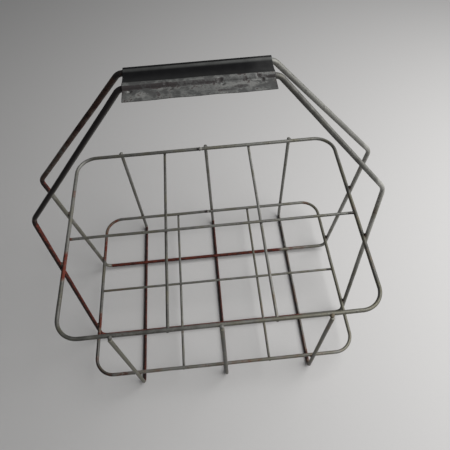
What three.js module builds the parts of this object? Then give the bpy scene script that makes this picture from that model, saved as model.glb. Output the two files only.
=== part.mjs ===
// Wire carrier for six bottles.
// Fourteen pieces of steel: two wire rings, two leaning bails that carry the load up to the handle,
// three U-shaped runners that stand on the floor, six divider wires and a pressed sheet grip.
// The wires are welded where they lie against each other.
// Millimetres, +Z up, +X along the long side, origin on the floor under the middle.

import * as THREE from 'three';

// Bottle cells: columns along X, rows along Y
const COLUMNS = 3;
const ROWS = 2;
const CELL_LENGTH = 70;
const CELL_DEPTH = 76;

// Wires
const BAIL_WIRE = 3.05; // Birmingham wire gauge 11
const FRAME_WIRE = 2.77; // gauge 12, for the rings and the runners
const DIVIDER_WIRE = 2.11; // gauge 14
const WIRE_SIDES = 12;
const BEND_STEP = THREE.MathUtils.degToRad(15);
const SEAT_GAP = 0.2; // left between two wires that are welded together
const JOINT_GAP = 0.3; // left between the two ends of a closed loop

// Rings
const UPPER_RING_HEIGHT = 113.7;
const LOWER_RING_HEIGHT = 23.8;
const RING_CORNER_RADIUS = 15;
const RING_JOINT_X = -5; // the ends meet in the rear side, just left of the middle runner

// Dividers
const SHORT_DIVIDER_REACH = 0.5; // how far its ends pass the ring's centre line
const SHORT_DIVIDER_SHIFT = 0.7; // the short ones are welded this far to the right of the cells' borders
const LONG_DIVIDER_SHIFT = -1.2; // and the long ones this far in front of the middle

// Runners
const RUNNER_BEND_RADIUS = 4.5;
const RUNNER_LEG_RISE = 0.3; // the legs end this far above the upper ring's centre line

// Bails
const BAIL_FOOT_SPACING = 70; // between the two bottom runs
const BAIL_FOOT_RADIUS = 5;
const BAIL_ELBOW_HEIGHT = 160.4;
const BAIL_ELBOW_RADIUS = 11;
const HANDLE_SPREAD = 74.9; // between the two upper corners of a bail
const HANDLE_HEIGHT = 242.2;
const HANDLE_SPACING = 11.4; // between the two top runs
const HANDLE_RADIUS = 5;
const FRONT_HANDLE_SHIFT = 1; // the front bail's top run lies this far to the right of the rear one's

// Grip
const GRIP_LENGTH = 71;
const GRIP_SHIFT = 0.7; // to the right of the middle
const SHEET = 0.7;
const SHEET_CLEARANCE = 0.2; // between the sheet and the wire under it
const ROLL_END = THREE.MathUtils.degToRad(-120); // where the rolled rear edge stops, under its wire
const TROUGH_LEVEL = 1.2; // from the wires' centres up to the middle of the sheet between them
const LIP_LEVEL = 0.3; // and up to the middle of the lip
const LIP_FILLET = 1.2;
const LIP_EDGE = 15.6; // from the middle plane forward to the lip's edge
const ARC_SEGMENTS = 5;

// Colours of aged steel, from the photo
const ZINC = 0x7c7a72;
const DARK_ZINC = 0x4d4a45;
const RUSTED = 0x55302a;
const SHEET_GREY = 0x5b5a57;

// Sizes that follow from the ones above
const RING_LENGTH = COLUMNS * CELL_LENGTH;
const RING_DEPTH = ROWS * CELL_DEPTH;
const FLAT_RADIUS = Math.cos(Math.PI / WIRE_SIDES); // flat side's distance from the centre, for radius 1
const RUNNER_HEIGHT = FLAT_RADIUS * FRAME_WIRE / 2;
const RUNNER_LEG_Y = RING_DEPTH / 2 + FRAME_WIRE + SEAT_GAP;
const BAIL_SEAT = FRAME_WIRE / 2 + SEAT_GAP + BAIL_WIRE / 2; // from a bail to the wire that it lies against
const BAIL_FOOT_HEIGHT = RUNNER_HEIGHT + BAIL_SEAT;
const BAIL_LEG_X = RING_LENGTH / 2 + BAIL_SEAT;
const BAIL_LEAN = Math.atan2(
  (BAIL_FOOT_SPACING - HANDLE_SPACING) / 2,
  HANDLE_HEIGHT - BAIL_FOOT_HEIGHT,
);

// The centre line of a bent wire: straight runs between corners, each corner turned at a radius.
// Its stations lie where the wire starts, turns and ends, so straight runs are not cut up.
class BentWire extends THREE.Curve {
  constructor(corners) {
    super();
    this.stations = [];
    const points = corners.map(({ at }) => new THREE.Vector3(...at));
    const runs = points.slice(1).map((point, i) => point.clone().sub(points[i]).normalize());
    this.addStation(points[0], runs[0]);
    for (let i = 1; i < runs.length; i += 1) {
      this.addBend(points[i], runs[i - 1], runs[i], corners[i].radius);
    }
    this.addStation(points.at(-1), runs.at(-1));
  }

  addStation(point, tangent) {
    this.stations.push({ point, tangent });
  }

  addBend(corner, before, after, radius) {
    const turn = before.angleTo(after);
    const start = corner.clone().addScaledVector(before, -radius * Math.tan(turn / 2));
    const inward = after.clone().addScaledVector(before, -before.dot(after)).normalize();
    const steps = Math.max(2, Math.round(turn / BEND_STEP));
    for (let step = 0; step <= steps; step += 1) {
      const angle = turn * step / steps;
      const point = start.clone()
        .addScaledVector(before, radius * Math.sin(angle))
        .addScaledVector(inward, radius * (1 - Math.cos(angle)));
      const tangent = before.clone()
        .multiplyScalar(Math.cos(angle))
        .addScaledVector(inward, Math.sin(angle));
      this.addStation(point, tangent);
    }
  }

  station(t) {
    return this.stations[Math.round(t * (this.stations.length - 1))];
  }

  getPoint(t, target = new THREE.Vector3()) {
    return target.copy(this.station(t).point);
  }

  getTangent(t, target = new THREE.Vector3()) {
    return target.copy(this.station(t).tangent);
  }

  getUtoTmapping(u) {
    return u;
  }
}

// A round wire's section, turned so that flat sides face along the frame's axes.
function wireSection(diameter) {
  const points = [];
  for (let side = 0; side < WIRE_SIDES; side += 1) {
    const angle = (side + 0.5) * 2 * Math.PI / WIRE_SIDES;
    points.push(new THREE.Vector2(Math.cos(angle), Math.sin(angle)).multiplyScalar(diameter / 2));
  }
  return new THREE.Shape(points);
}

function piece(name, geometry, color, roughness, metalness) {
  const mesh = new THREE.Mesh(geometry, new THREE.MeshStandardMaterial({ color, roughness, metalness }));
  mesh.name = name;
  return mesh;
}

function wire(name, diameter, corners, color) {
  const path = new BentWire(corners);
  const geometry = new THREE.ExtrudeGeometry(wireSection(diameter), {
    steps: path.stations.length - 1,
    extrudePath: path,
    bevelEnabled: false,
  });
  return piece(name, geometry, color, 0.6, 0.7);
}

// A rounded rectangle of wire, its ends butted in the rear side.
function ring(name, height) {
  const x = RING_LENGTH / 2;
  const y = RING_DEPTH / 2;
  const radius = RING_CORNER_RADIUS;
  const mesh = wire(name, FRAME_WIRE, [
    { at: [RING_JOINT_X + JOINT_GAP / 2, y, 0] },
    { at: [x, y, 0], radius },
    { at: [x, -y, 0], radius },
    { at: [-x, -y, 0], radius },
    { at: [-x, y, 0], radius },
    { at: [RING_JOINT_X - JOINT_GAP / 2, y, 0] },
  ], ZINC);
  mesh.position.z = height;
  return mesh;
}

// The dividers of one ring: short ones beneath it, and a long one on top of those between its ends.
function dividers(level, ringHeight) {
  const shortHeight = ringHeight - FRAME_WIRE / 2 - SEAT_GAP - DIVIDER_WIRE / 2;
  const longHeight = shortHeight + DIVIDER_WIRE + SEAT_GAP;
  const shortEnd = RING_DEPTH / 2 + SHORT_DIVIDER_REACH;
  const longEnd = RING_LENGTH / 2 - FRAME_WIRE / 2 - SEAT_GAP;
  const along = wire(
    `${level}_long_divider`,
    DIVIDER_WIRE,
    [{ at: [-longEnd, 0, 0] }, { at: [longEnd, 0, 0] }],
    ZINC,
  );
  along.position.set(0, LONG_DIVIDER_SHIFT, longHeight);
  const across = ['left', 'right'].map((side, i) => {
    const mesh = wire(
      `${level}_${side}_divider`,
      DIVIDER_WIRE,
      [{ at: [0, -shortEnd, 0] }, { at: [0, shortEnd, 0] }],
      ZINC,
    );
    const border = (i + 1 - COLUMNS / 2) * CELL_LENGTH;
    mesh.position.set(border + SHORT_DIVIDER_SHIFT, 0, shortHeight);
    return mesh;
  });
  return [along, ...across];
}

// A U-wire under one column of bottles, with its legs outside the rings.
function runner(name, column) {
  const top = UPPER_RING_HEIGHT + RUNNER_LEG_RISE - RUNNER_HEIGHT;
  const radius = RUNNER_BEND_RADIUS;
  const mesh = wire(name, FRAME_WIRE, [
    { at: [0, RUNNER_LEG_Y, top] },
    { at: [0, RUNNER_LEG_Y, 0], radius },
    { at: [0, -RUNNER_LEG_Y, 0], radius },
    { at: [0, -RUNNER_LEG_Y, top] },
  ], RUSTED);
  mesh.position.set((column - (COLUMNS - 1) / 2) * CELL_LENGTH, 0, RUNNER_HEIGHT);
  return mesh;
}

// A six-sided loop, drawn upright on its bottom run and then leant over towards the other bail.
// Its top run may lie a little off the middle.
function bail(name, side, shift) {
  const elbow = (BAIL_ELBOW_HEIGHT - BAIL_FOOT_HEIGHT) / Math.cos(BAIL_LEAN);
  const top = (HANDLE_HEIGHT - BAIL_FOOT_HEIGHT) / Math.cos(BAIL_LEAN);
  const corner = HANDLE_SPREAD / 2;
  const mesh = wire(name, BAIL_WIRE, [
    { at: [shift + JOINT_GAP / 2, 0, top] },
    { at: [shift + corner, 0, top], radius: HANDLE_RADIUS },
    { at: [BAIL_LEG_X, 0, elbow], radius: BAIL_ELBOW_RADIUS },
    { at: [BAIL_LEG_X, 0, 0], radius: BAIL_FOOT_RADIUS },
    { at: [-BAIL_LEG_X, 0, 0], radius: BAIL_FOOT_RADIUS },
    { at: [-BAIL_LEG_X, 0, elbow], radius: BAIL_ELBOW_RADIUS },
    { at: [shift - corner, 0, top], radius: HANDLE_RADIUS },
    { at: [shift - JOINT_GAP / 2, 0, top] },
  ], DARK_ZINC);
  mesh.position.set(0, side * BAIL_FOOT_SPACING / 2, BAIL_FOOT_HEIGHT);
  mesh.rotation.x = side * BAIL_LEAN;
  return mesh;
}

// Section of the grip, seen along the handle with the rear to the right and the wires' centres at
// height 0. One sheet runs from the rolled edge under the rear wire, over that wire, through a shallow
// trough, over the front wire and out along the lip. All its arcs meet tangent to tangent.
function gripSection() {
  const wireY = HANDLE_SPACING / 2;
  const half = SHEET / 2;
  const ridge = BAIL_WIRE / 2 + SHEET_CLEARANCE + half;
  const trough = (wireY ** 2 + TROUGH_LEVEL ** 2 - ridge ** 2) / (2 * (ridge - TROUGH_LEVEL));
  const troughZ = trough + TROUGH_LEVEL;
  const troughTurn = Math.atan2(troughZ, wireY);
  const lipZ = LIP_LEVEL + LIP_FILLET;
  const lipReach = Math.sqrt((ridge + LIP_FILLET) ** 2 - lipZ ** 2);
  const lipTurn = Math.atan2(lipZ, lipReach);
  const lipY = -wireY - lipReach;
  const rearOff = Math.PI - troughTurn;
  const frontOff = Math.PI - lipTurn;
  const shape = new THREE.Shape();
  shape.absarc(wireY, 0, ridge + half, ROLL_END, rearOff, false);
  shape.absarc(0, troughZ, trough - half, -troughTurn, troughTurn - Math.PI, true);
  shape.absarc(-wireY, 0, ridge + half, troughTurn, frontOff, false);
  shape.absarc(lipY, lipZ, LIP_FILLET - half, -lipTurn, -Math.PI / 2, true);
  shape.lineTo(-LIP_EDGE, LIP_LEVEL + half);
  shape.lineTo(-LIP_EDGE, LIP_LEVEL - half);
  shape.absarc(lipY, lipZ, LIP_FILLET + half, -Math.PI / 2, -lipTurn, false);
  shape.absarc(-wireY, 0, ridge - half, frontOff, troughTurn, true);
  shape.absarc(0, troughZ, trough + half, troughTurn - Math.PI, -troughTurn, false);
  shape.absarc(wireY, 0, ridge - half, rearOff, ROLL_END, true);
  return shape;
}

function grip() {
  const geometry = new THREE.ExtrudeGeometry(gripSection(), {
    depth: GRIP_LENGTH,
    bevelEnabled: false,
    curveSegments: ARC_SEGMENTS,
  });
  const mesh = piece('grip', geometry, SHEET_GREY, 0.5, 0.8);
  mesh.rotation.set(Math.PI / 2, Math.PI / 2, 0);
  mesh.position.set(GRIP_SHIFT - GRIP_LENGTH / 2, 0, HANDLE_HEIGHT);
  return mesh;
}

const carrier = new THREE.Group();
carrier.name = 'bottle_carrier';
carrier.add(
  ring('upper_ring', UPPER_RING_HEIGHT),
  ring('lower_ring', LOWER_RING_HEIGHT),
  ...dividers('upper', UPPER_RING_HEIGHT),
  ...dividers('lower', LOWER_RING_HEIGHT),
  ...['left', 'middle', 'right'].map((side, column) => runner(`${side}_runner`, column)),
  bail('front_bail', -1, FRONT_HANDLE_SHIFT),
  bail('rear_bail', 1, 0),
  grip(),
);

export default carrier;
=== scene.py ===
"""The looks of a welded wire bottle carrier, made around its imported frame.

Every wire is a round section carried along the bent centre line of its node, with broken cut ends and
a weld nugget wherever two wires meet. The grip is one pressed sheet, dented where it is staked.
Meshes are in metres in the frame of the model: +X along the grip, +Y to the rear, +Z up. The finishes
are worked out in millimetres.
"""

import itertools
import math

import bpy
import numpy as np
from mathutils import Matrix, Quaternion, Vector


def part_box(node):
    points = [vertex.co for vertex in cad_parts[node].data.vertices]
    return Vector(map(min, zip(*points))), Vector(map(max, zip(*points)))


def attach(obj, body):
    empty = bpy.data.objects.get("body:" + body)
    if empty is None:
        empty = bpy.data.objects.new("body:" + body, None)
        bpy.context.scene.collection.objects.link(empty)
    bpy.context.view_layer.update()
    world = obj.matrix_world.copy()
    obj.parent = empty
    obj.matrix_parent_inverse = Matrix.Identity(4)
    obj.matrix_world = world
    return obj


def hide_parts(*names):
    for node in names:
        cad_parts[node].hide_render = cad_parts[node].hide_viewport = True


bl_info = {
    "name": "Wire Bottle Carrier",
    "version": (1, 0, 0),
    "blender": (4, 5, 0),
    "location": "View3D > Sidebar > Carrier",
    "description": "Wires, welds, grip and studio stage of a six-bottle wire carrier",
    "category": "Add Mesh",
}

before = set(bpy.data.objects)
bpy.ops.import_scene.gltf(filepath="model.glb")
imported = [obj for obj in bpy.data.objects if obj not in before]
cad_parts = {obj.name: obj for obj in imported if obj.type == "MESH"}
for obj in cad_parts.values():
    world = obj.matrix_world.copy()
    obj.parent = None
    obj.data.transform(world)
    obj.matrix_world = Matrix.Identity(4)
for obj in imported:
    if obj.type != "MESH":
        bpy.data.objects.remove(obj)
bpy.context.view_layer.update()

BODY = "root"
MILLIMETRE = 0.001
LEVELS = ("upper", "lower")
SIDES = ("left", "right")
RUNNERS = ("left_runner", "middle_runner", "right_runner")
BAILS = ("front_bail", "rear_bail")
BOTH = (-1.0, 1.0)


# User settings

def length(name, description, default):
    """A size in metres that a user may change."""
    return bpy.props.FloatProperty(
        name=name, description=description, default=default, min=0.0, unit="LENGTH", precision=5
    )


def colour(name, description, default):
    """A linear colour that a user may change."""
    return bpy.props.FloatVectorProperty(
        name=name, description=description, default=default, min=0.0, max=1.0, size=3, subtype="COLOR"
    )


class CarrierSizes(bpy.types.PropertyGroup):
    """Sizes that the node boxes don't give."""

    bail_wire: length("Bail wire", "Diameter of the two bails", 0.00305)
    frame_wire: length("Frame wire", "Diameter of the rings and the runners", 0.00277)
    divider_wire: length("Divider wire", "Diameter of the dividers", 0.00211)
    seat_gap: length("Seat gap", "Gap between two wires, which a weld nugget fills", 0.0002)
    joint_gap: length("Joint gap", "Gap between the two ends of a closed loop", 0.0003)
    ring_corner: length("Ring corner", "Corner radius of a ring's centre line", 0.015)
    ring_joint: length("Ring joint", "How far left of the middle a ring's ends are butted", 0.005)
    runner_bend: length("Runner bend", "Bend radius at a runner's feet", 0.0045)
    foot_bend: length("Foot bend", "Bend radius at a bail's bottom corners", 0.005)
    elbow_bend: length("Elbow bend", "Bend radius at a bail's elbows", 0.011)
    handle_bend: length("Handle bend", "Bend radius beside the grip", 0.005)
    elbow_height: length("Elbow height", "Height of a bail's elbows above the floor", 0.1604)
    handle_spread: length("Handle spread", "Distance between a bail's two upper corners", 0.0749)
    front_shift: length("Front shift", "How far right of the middle the front bail's top run lies", 0.001)
    sheet: length("Sheet", "Thickness of the grip's sheet steel", 0.0007)
    sheet_clearance: length("Clearance", "Gap between the sheet and its wires", 0.0002)
    trough_level: length("Trough level", "Height of the dipped sheet above the wires' centres", 0.0012)
    lip_level: length("Lip level", "Height of the lip above the wires' centres", 0.0003)
    lip_fillet: length("Lip fillet", "Radius where the lip leaves the front wire", 0.0012)
    lip_warp: length("Lip warp", "How far the lip's edge bends up and down", 0.00022)
    dent_depth: length("Dent depth", "Depth of the grip's stake dents", 0.0005)


class CarrierColours(bpy.types.PropertyGroup):
    """Colours of the aged steel and of the stage."""

    # Light zinc is also what painted light brightens a wire's lit side towards
    zinc_light: colour("Light zinc", "Dull zinc where it is rubbed", (0.200, 0.198, 0.182))
    chalk: colour("White bloom", "Chalky corrosion on the zinc", (0.360, 0.355, 0.330))
    zinc_dark: colour("Dark zinc", "Dull zinc where it is weathered", (0.078, 0.076, 0.069))
    olive: colour("Olive bloom", "Yellowish corrosion on the zinc", (0.140, 0.130, 0.088))
    # Black patina is also laid on as painted shade: in the crotches at the welds, on the runner bases by
    # the floor and on the bails' left slopes
    patina: colour("Black patina", "Dark oxide on the handled upper wires", (0.021, 0.018, 0.018))
    rust_dark: colour("Dark rust", "Old brown rust", (0.017, 0.008, 0.007))
    rust_red: colour("Red rust", "Red-brown rust", (0.120, 0.023, 0.014))
    rust_orange: colour("Orange rust", "Fresh rust at the edge of a patch", (0.180, 0.070, 0.032))
    weld_scale: colour("Weld scale", "Burnt scale on a weld nugget", (0.062, 0.049, 0.041))
    sheet_dull: colour("Dull sheet", "Weathered steel of the lip", (0.094, 0.094, 0.092))
    sheet_worn: colour("Worn sheet", "Rubbed steel of the lip", (0.205, 0.210, 0.202))
    sheet_scuff: colour("Scuffs", "Bright scratches on the lip", (0.285, 0.285, 0.273))
    sheet_stain: colour("Stains", "Dark stains on the sheet", (0.034, 0.029, 0.030))
    sheet_brown: colour("Brown tint", "Thin rust on the sheet", (0.068, 0.037, 0.031))
    sheet_black: colour("Black sheet", "Black paint in the trough", (0.003, 0.003, 0.0035))
    floor: colour("Floor", "Plain pale floor", (0.560, 0.552, 0.545))


# Meshes

# First random seed of each group, and what is added to it for a wire's bow and twist
SEEDS = {"welds": 5, "rings": 10, "dividers": 30, "runners": 50, "bails": 70, "lip": 91}
TWIST_SEED = 1
BOW_SEED = 200

# Least stations in a bend, and how much closer they lie there than in a straight run
BEND_STATIONS = 8
BEND_DENSITY = 3.0


def wave(along, seed, longest, count=5):
    """A smooth random wave of about unit height: a sum of sines, each shorter and lower than the last."""
    draw = np.random.default_rng(seed)
    total = np.zeros_like(along)
    for order in range(count):
        phase = draw.uniform(0.0, 2.0 * math.pi)
        span = longest * draw.uniform(0.8, 1.2) / 1.7 ** order
        total += np.sin(2.0 * math.pi * along / span + phase) / 1.5 ** order
    return total / 2.0


def unit(vector):
    """The vector scaled to length one."""
    return vector / np.linalg.norm(vector)


def run_lengths(points):
    """Distance along a line of points from its first point to each."""
    return np.concatenate([[0.0], np.cumsum(np.linalg.norm(np.diff(points, axis=0), axis=1))])


def bent_route(corners, radii, step):
    """Centre line of a bent wire: points, tangents and how hard it bends (0 straight, 1 in an arc).

    Straight runs are split every step. At a corner that turns by an angle T the arc starts
    radius * tan(T / 2) before it and follows start + r * (sin a * before + (1 - cos a) * inward).
    """
    corners = np.asarray(corners, dtype=float)
    runs = np.array([unit(run) for run in np.diff(corners, axis=0)])
    points, tangents, bends = [], [], []
    here = corners[0]
    for index, run in enumerate(runs):
        last = index == len(runs) - 1
        turn = 0.0 if last else math.acos(np.clip(run @ runs[index + 1], -1.0, 1.0))
        radius = 0.0 if last else radii[index]
        stop = corners[index + 1] - run * radius * math.tan(turn / 2.0)
        count = max(2, int(np.linalg.norm(stop - here) / step))
        share = np.linspace(0.0, 1.0, count, endpoint=last)[:, None]
        points.append(here + share * (stop - here))
        tangents.append(np.repeat(run[None], count, axis=0))
        bends.append(np.zeros(count))
        if last:
            break
        inward = unit(runs[index + 1] - run * (run @ runs[index + 1]))
        count = max(BEND_STATIONS, int(BEND_DENSITY * radius * turn / step))
        angle = np.linspace(0.0, turn, count, endpoint=False)
        sine = np.sin(angle)[:, None]
        cosine = np.cos(angle)[:, None]
        points.append(stop + radius * (sine * run + (1.0 - cosine) * inward))
        tangents.append(cosine * run + sine * inward)
        bends.append(np.sin(math.pi * angle / turn) ** 0.5)
        here = stop + radius * (math.sin(turn) * run + (1.0 - math.cos(turn)) * inward)
    return np.concatenate(points), np.concatenate(tangents), np.concatenate(bends)


def build_mesh(name, points, faces, **marks):
    """A smooth-shaded mesh object at the origin. Each mark is a number or vector kept per vertex."""
    mesh = bpy.data.meshes.new(name)
    mesh.from_pydata(points.tolist(), [], faces)
    mesh.validate()
    for key, values in marks.items():
        kind, field = ("FLOAT_VECTOR", "vector") if values.ndim == 2 else ("FLOAT", "value")
        layer = mesh.attributes.new(key, kind, "POINT")
        layer.data.foreach_set(field, values.astype(np.float32).ravel())
    mesh.shade_smooth()
    piece = bpy.data.objects.new(name, mesh)
    bpy.context.scene.collection.objects.link(piece)
    return piece


def tube_quads(rows, columns):
    """Quads between neighbouring rows of a closed tube."""
    row, column = np.meshgrid(columns * np.arange(rows - 1), np.arange(columns), indexing="ij")
    after = (column + 1) % columns
    quads = [row + column, row + after, row + columns + after, row + columns + column]
    return np.stack(quads, axis=-1).reshape(-1, 4)


def tube_faces(rows, columns):
    """The quads of a tube, and a fan over each end's pole."""
    side = np.arange(columns)
    ahead = (side + 1) % columns
    first = rows * columns
    start = np.stack([np.full(columns, first), ahead, side], axis=-1)
    base = (rows - 1) * columns
    end = np.stack([np.full(columns, first + 1), base + side, base + ahead], axis=-1)
    return tube_quads(rows, columns), np.concatenate([start, end])


# Broken cut ends, flattened bends and corrosion, as shares of the wire's radius
CUT_INSET = np.array([0.0, 0.03, 0.10, 0.22])
CUT_WIDTH = np.array([0.72, 0.90, 0.975, 1.0])
CUT_ROWS = len(CUT_INSET)
FLATTENED = 0.06
WIDENED = 0.03
UNEVEN = 0.008

# Waves along a wire, its sampling and bow, the reach of the dark marks round a weld (weld scale and
# painted shade), and the way from which light is painted on a wire's lit side
UNEVEN_LENGTH = 11.0 * MILLIMETRE
TWIST = 5.0
TWIST_LENGTH = 40.0 * MILLIMETRE
SECTION_SIDES = 20
ROUTE_STEP = 1.0 * MILLIMETRE
BOW = 0.12 * MILLIMETRE
BOW_LENGTH = 90.0 * MILLIMETRE
BOW_EASE = 12.0 * MILLIMETRE
HEAT_REACH = 3.0 * MILLIMETRE
PAINTED_LIGHT_WAY = np.array([0.95, 0.0, 0.31])


def wire(node, corners, radii, diameter, across, seed):
    """A node's round wire: a circle of the wire's radius carried along its bent centre line.

    At a point along the line the section is r * (cos a * normal + sin a * across), where across is the
    normal of the plane that the wire is bent in. The line bows inwards by about a tenth of a millimetre.
    In a bend the section is flattened a little, corrosion makes it uneven by a hundredth, and both cut
    ends are broken round. Kept for every vertex: drawn, its place in a straightened wire; bend; a share of
    painted light and shade, from 1 on the side lit from the right to -1 on the shaded left one; and a share
    of weld scale and painted shade in the crotches, which falls off from the nearest weld as
    exp(-(distance / reach)^2).
    """
    radius = diameter / 2.0
    points, tangents, bends = bent_route(corners, radii, ROUTE_STEP)
    repeats = np.ones(len(points), int)
    repeats[[0, -1]] = CUT_ROWS
    points, tangents, bends = (np.repeat(each, repeats, axis=0) for each in (points, tangents, bends))
    cut = CUT_INSET[:, None] * radius
    points[:CUT_ROWS] += cut * tangents[0]
    points[-CUT_ROWS:] -= cut[::-1] * tangents[-1]
    width = np.ones((len(points), 1))
    width[:CUT_ROWS, 0] = CUT_WIDTH
    width[-CUT_ROWS:, 0] = CUT_WIDTH[::-1]
    across = unit(np.asarray(across, dtype=float))
    normals = np.cross(across, tangents)
    along = run_lengths(points)
    ease = np.clip(np.minimum(along, along[-1] - along) / BOW_EASE, 0.0, 1.0)[:, None]
    inside = 1.0 if np.sum(normals * (points.mean(axis=0) - points)) >= 0.0 else -1.0
    bow = 0.5 + 0.5 * np.clip(wave(along, seed + BOW_SEED, BOW_LENGTH), -1.0, 1.0)[:, None]
    points = points + inside * BOW * ease * bow * normals
    angle = np.linspace(0.0, 2.0 * math.pi, SECTION_SIDES, endpoint=False)
    twist = TWIST * wave(along, seed + TWIST_SEED, TWIST_LENGTH)[:, None]
    uneven = 1.0 - UNEVEN + UNEVEN * wave(along, seed, UNEVEN_LENGTH)[:, None] * np.cos(angle + twist)
    inward = radius * uneven * width * (1.0 - FLATTENED * bends[:, None]) * np.cos(angle)
    outward = radius * uneven * width * (1.0 + WIDENED * bends[:, None]) * np.sin(angle)
    skin = points[:, None] + inward[..., None] * normals[:, None] + outward[..., None] * across
    vertices = np.concatenate([skin.reshape(-1, 3), points[[0, -1]]])
    # Painted light and shade: how far each point of the skin turns to the light from the right
    facing = np.cos(angle) * (normals @ PAINTED_LIGHT_WAY)[:, None] + np.sin(angle) * (across @ PAINTED_LIGHT_WAY)
    facing = np.concatenate([facing.ravel(), [0.0, 0.0]])
    drawn = np.stack(np.broadcast_arrays(along[:, None], inward, outward), axis=-1).reshape(-1, 3)
    drawn = np.concatenate([drawn, [[along[0], 0.0, 0.0], [along[-1], 0.0, 0.0]]])
    bend = np.concatenate([np.repeat(bends, SECTION_SIDES), [0.0, 0.0]])
    places, _ = weld_places()
    distance = np.linalg.norm(vertices[:, None] - places[None], axis=-1).min(axis=1)
    # Dark marks round the welds: weld scale, and painted shade in the crotches between the wires
    heat = np.exp(-(distance / HEAT_REACH) ** 2)
    quads, fans = tube_faces(len(points), SECTION_SIDES)
    faces = quads.tolist() + fans.tolist()
    return build_mesh(node + "_wire", vertices, faces, drawn=drawn, bend=bend, facing=facing, heat=heat)


def dress(piece, material, slot, *nodes):
    """Gives a piece its material, lets it ride on the frame and stand for its nodes. The slot is not used.
    """
    piece.data.materials.append(material)
    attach(piece, BODY)
    if nodes:
        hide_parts(*nodes)


# Places of the wires, read from the node boxes so that each round wire fills its box

def span(node):
    """Lowest and highest corner of a node as arrays."""
    low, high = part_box(node)
    return np.array(low), np.array(high)


def middle(node):
    """Middle of a node's box."""
    return sum(span(node)) / 2.0


def ring_places(level):
    """X of a ring's right end, Y of its rear side and its height, along the centre line."""
    radius = bpy.context.scene.carrier_sizes.frame_wire / 2.0
    _, high = span(level + "_ring")
    return high[0] - radius, high[1] - radius, middle(level + "_ring")[2]


def bail_places(node):
    """Leg X, foot Y and Z, and handle Y and Z of a bail's centre line."""
    radius = bpy.context.scene.carrier_sizes.bail_wire / 2.0
    low, high = span(node)
    front = node == "front_bail"
    foot_y = low[1] + radius if front else high[1] - radius
    handle_y = high[1] - radius if front else low[1] + radius
    return high[0] - radius, foot_y, low[2] + radius, handle_y, high[2] - radius


def bail_y(node, height):
    """Y of a bail's centre line at a height: a straight lean from the foot to the handle."""
    _, foot_y, foot_z, handle_y, handle_z = bail_places(node)
    return foot_y + (height - foot_z) / (handle_z - foot_z) * (handle_y - foot_y)


# Half sizes of the weld nuggets along X, Y and Z in millimetres, and the lift of those on the leg ends
LEG_NUGGET = (1.5, 1.0, 1.25)
LEG_TOP_NUGGET = (1.55, 1.6, 1.35)
LEG_TOP_LIFT = 0.45 * MILLIMETRE
BAIL_NUGGET = (1.0, 1.8, 1.8)
FOOT_NUGGET = (1.8, 1.8, 0.9)
DIVIDER_NUGGET = (1.35, 1.3, 0.75)
CROSS_NUGGET = (1.2, 1.2, 0.6)
END_NUGGET = (0.6, 1.25, 1.2)
JOINT_COLLAR = (0.85, 1.62, 1.62)


def weld_places():
    """Middles of all weld nuggets and their half sizes along X, Y and Z, one row each.

    A nugget lies midway between the surfaces of two wires that touch. The runners' leg ends are mashed
    into the upper ring, so their nuggets are as wide as the leg. A collar goes round each ring's butted
    ends.
    """
    sizes = bpy.context.scene.carrier_sizes
    frame_seat = (sizes.frame_wire + sizes.seat_gap) / 2.0
    divider_seat = (sizes.divider_wire + sizes.seat_gap) / 2.0
    rows = []
    for level in LEVELS:
        end, side, height = ring_places(level)
        lift, nugget = (LEG_TOP_LIFT, LEG_TOP_NUGGET) if level == "upper" else (0.0, LEG_NUGGET)
        for node, way in itertools.product(RUNNERS, BOTH):
            rows.append(((middle(node)[0], way * (side + frame_seat), height + lift), nugget))
        for node, way in itertools.product(BAILS, BOTH):
            rows.append(((way * (end + frame_seat), bail_y(node, height), height), BAIL_NUGGET))
        _, long_y, long_z = middle(level + "_long_divider")
        for name in SIDES:
            x = middle(f"{level}_{name}_divider")[0]
            rows += [((x, way * side, height - frame_seat), DIVIDER_NUGGET) for way in BOTH]
            rows.append(((x, long_y, long_z - divider_seat), CROSS_NUGGET))
        rows += [((way * (end - frame_seat), long_y, long_z), END_NUGGET) for way in BOTH]
        rows.append(((-sizes.ring_joint, side, height), JOINT_COLLAR))
    for node, runner in itertools.product(BAILS, RUNNERS):
        _, foot_y, foot_z, _, _ = bail_places(node)
        seat_z = foot_z - (sizes.bail_wire + sizes.seat_gap) / 2.0
        rows.append(((middle(runner)[0], foot_y, seat_z), FOOT_NUGGET))
    places, halves = zip(*rows)
    return np.array(places), np.array(halves) * MILLIMETRE


# Shader expressions

def socket_named(sockets, key):
    """The socket with that number, identifier or name."""
    if isinstance(key, int):
        return sockets[key]
    for socket in sockets:
        if key in (socket.identifier, socket.name):
            return socket
    raise KeyError(key)


class Field:
    """A value that changes over a surface. Arithmetic on it adds Math nodes to its finish."""

    def __init__(self, finish, socket):
        self.finish = finish
        self.socket = socket

    def math(self, operation, first, second):
        return self.finish.node("Math", {"operation": operation}, {0: first, 1: second})

    def __add__(self, other):
        return self.math("ADD", self, other)

    __radd__ = __add__

    def __sub__(self, other):
        return self.math("SUBTRACT", self, other)

    def __rsub__(self, other):
        return self.math("SUBTRACT", other, self)

    def __mul__(self, other):
        return self.math("MULTIPLY", self, other)

    __rmul__ = __mul__

    def rise(self, low, high):
        """0 below low and 1 above high, eased between. With low above high it falls instead."""
        inputs = {"Value": self, "From Min": low, "From Max": high}
        return self.finish.node("MapRange", {"interpolation_type": "SMOOTHSTEP"}, inputs)

    def band(self, low, high, soft):
        """1 between low and high, eased to 0 over soft on either side."""
        return self.rise(low - soft, low) * self.rise(high + soft, high)


# Specular level of most finishes, and of the grip's sheet
DULL_GLOSS = 0.25
SHEET_GLOSS = 0.5 * DULL_GLOSS


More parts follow.
